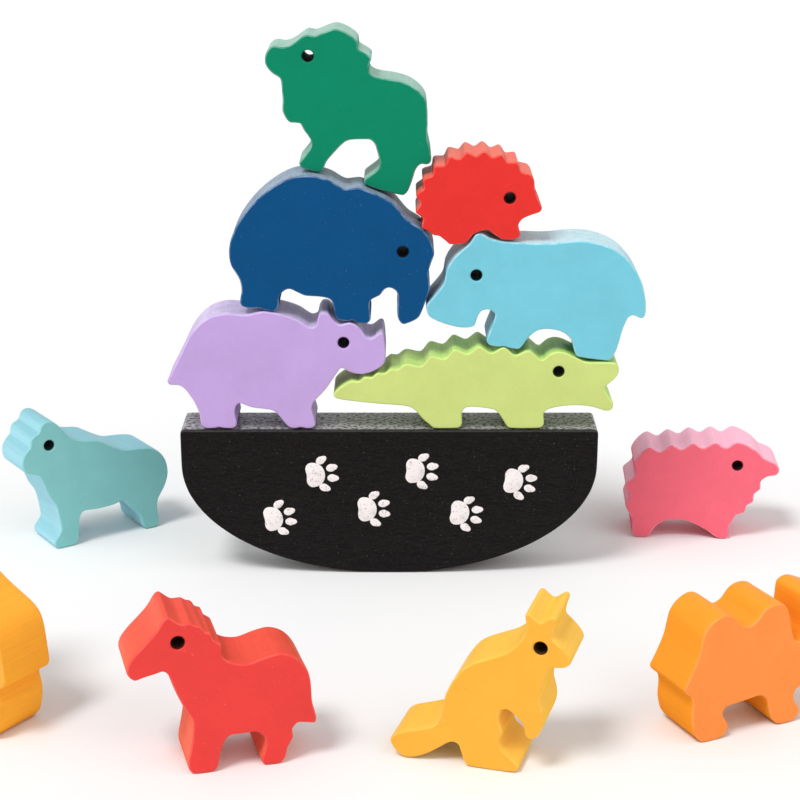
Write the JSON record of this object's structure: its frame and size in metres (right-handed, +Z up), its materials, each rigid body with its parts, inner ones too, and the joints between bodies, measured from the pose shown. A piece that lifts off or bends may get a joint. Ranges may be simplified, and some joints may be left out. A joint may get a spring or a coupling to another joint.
{
  "type": "balance stacking toy",
  "caption": "Half-moon rocking board with flat sawn wooden animals stacked on its deck, and more loose animals of the set standing round it, each with a drilled eye.",
  "frame": {"origin": "middle of the flat under the rocker's belly, on the resting surface", "axes": "+X along the rocker towards the crocodile's nose, +Y through its thickness away from the viewer, +Z up"},
  "size_m": [0.3029, 0.2208, 0.1967],
  "materials": {
    "rocker": "stained black wood",
    "rhinoceros": "lilac painted wood, satin",
    "crocodile": "lime painted wood, satin",
    "elephant": "navy painted wood, satin",
    "hippopotamus": "sky blue painted wood, satin",
    "hedgehog": "scarlet painted wood, satin",
    "lion": "green painted wood, satin",
    "bear": "aqua painted wood, satin",
    "sheep": "pink painted wood, satin",
    "horse": "red painted wood, satin",
    "kangaroo": "yellow painted wood, satin",
    "camel": "orange painted wood, satin",
    "giraffe": "amber painted wood, satin"
  },
  "bodies": {
    "rocker": {"rocker": "rocker"},
    "rhinoceros": {"rhinoceros": "rhinoceros"},
    "crocodile": {"crocodile": "crocodile"},
    "elephant": {"elephant": "elephant"},
    "hippopotamus": {"hippopotamus": "hippopotamus"},
    "hedgehog": {"hedgehog": "hedgehog"},
    "lion": {"lion": "lion"},
    "bear": {"bear": "bear"},
    "sheep": {"sheep": "sheep"},
    "horse": {"horse": "horse"},
    "kangaroo": {"kangaroo": "kangaroo"},
    "camel": {"camel": "camel"},
    "giraffe": {"giraffe": "giraffe"}
  },
  "joints": [
    {"name": "rhinoceros_draw", "type": "slide", "parent": "rocker", "child": "rhinoceros", "axis": [0, -1, 0], "range_m": [0, 0.03]},
    {"name": "elephant_draw", "type": "slide", "parent": "rhinoceros", "child": "elephant", "axis": [0, -1, 0], "range_m": [0, 0.03]},
    {"name": "lion_lift", "type": "slide", "parent": "elephant", "child": "lion", "axis": [0, 0, 1], "range_m": [0, 0.1]},
    {"name": "crocodile_draw", "type": "slide", "parent": "rocker", "child": "crocodile", "axis": [0, -1, 0], "range_m": [0, 0.03]},
    {"name": "hippopotamus_draw", "type": "slide", "parent": "crocodile", "child": "hippopotamus", "axis": [0, -1, 0], "range_m": [0, 0.03]},
    {"name": "hedgehog_draw", "type": "slide", "parent": "hippopotamus", "child": "hedgehog", "axis": [0, -1, 0], "range_m": [0, 0.03]},
    {"name": "bear_lift", "type": "slide", "parent": "rocker", "child": "bear", "axis": [0, 0, 1], "range_m": [0, 0.12]},
    {"name": "sheep_lift", "type": "slide", "parent": "rocker", "child": "sheep", "axis": [0, 0, 1], "range_m": [0, 0.12]},
    {"name": "horse_lift", "type": "slide", "parent": "rocker", "child": "horse", "axis": [0, 0, 1], "range_m": [0, 0.12]},
    {"name": "kangaroo_lift", "type": "slide", "parent": "rocker", "child": "kangaroo", "axis": [0, 0, 1], "range_m": [0, 0.12]},
    {"name": "camel_lift", "type": "slide", "parent": "rocker", "child": "camel", "axis": [0, 0, 1], "range_m": [0, 0.12]},
    {"name": "giraffe_lift", "type": "slide", "parent": "rocker", "child": "giraffe", "axis": [0, 0, 1], "range_m": [0, 0.12]}
  ]
}
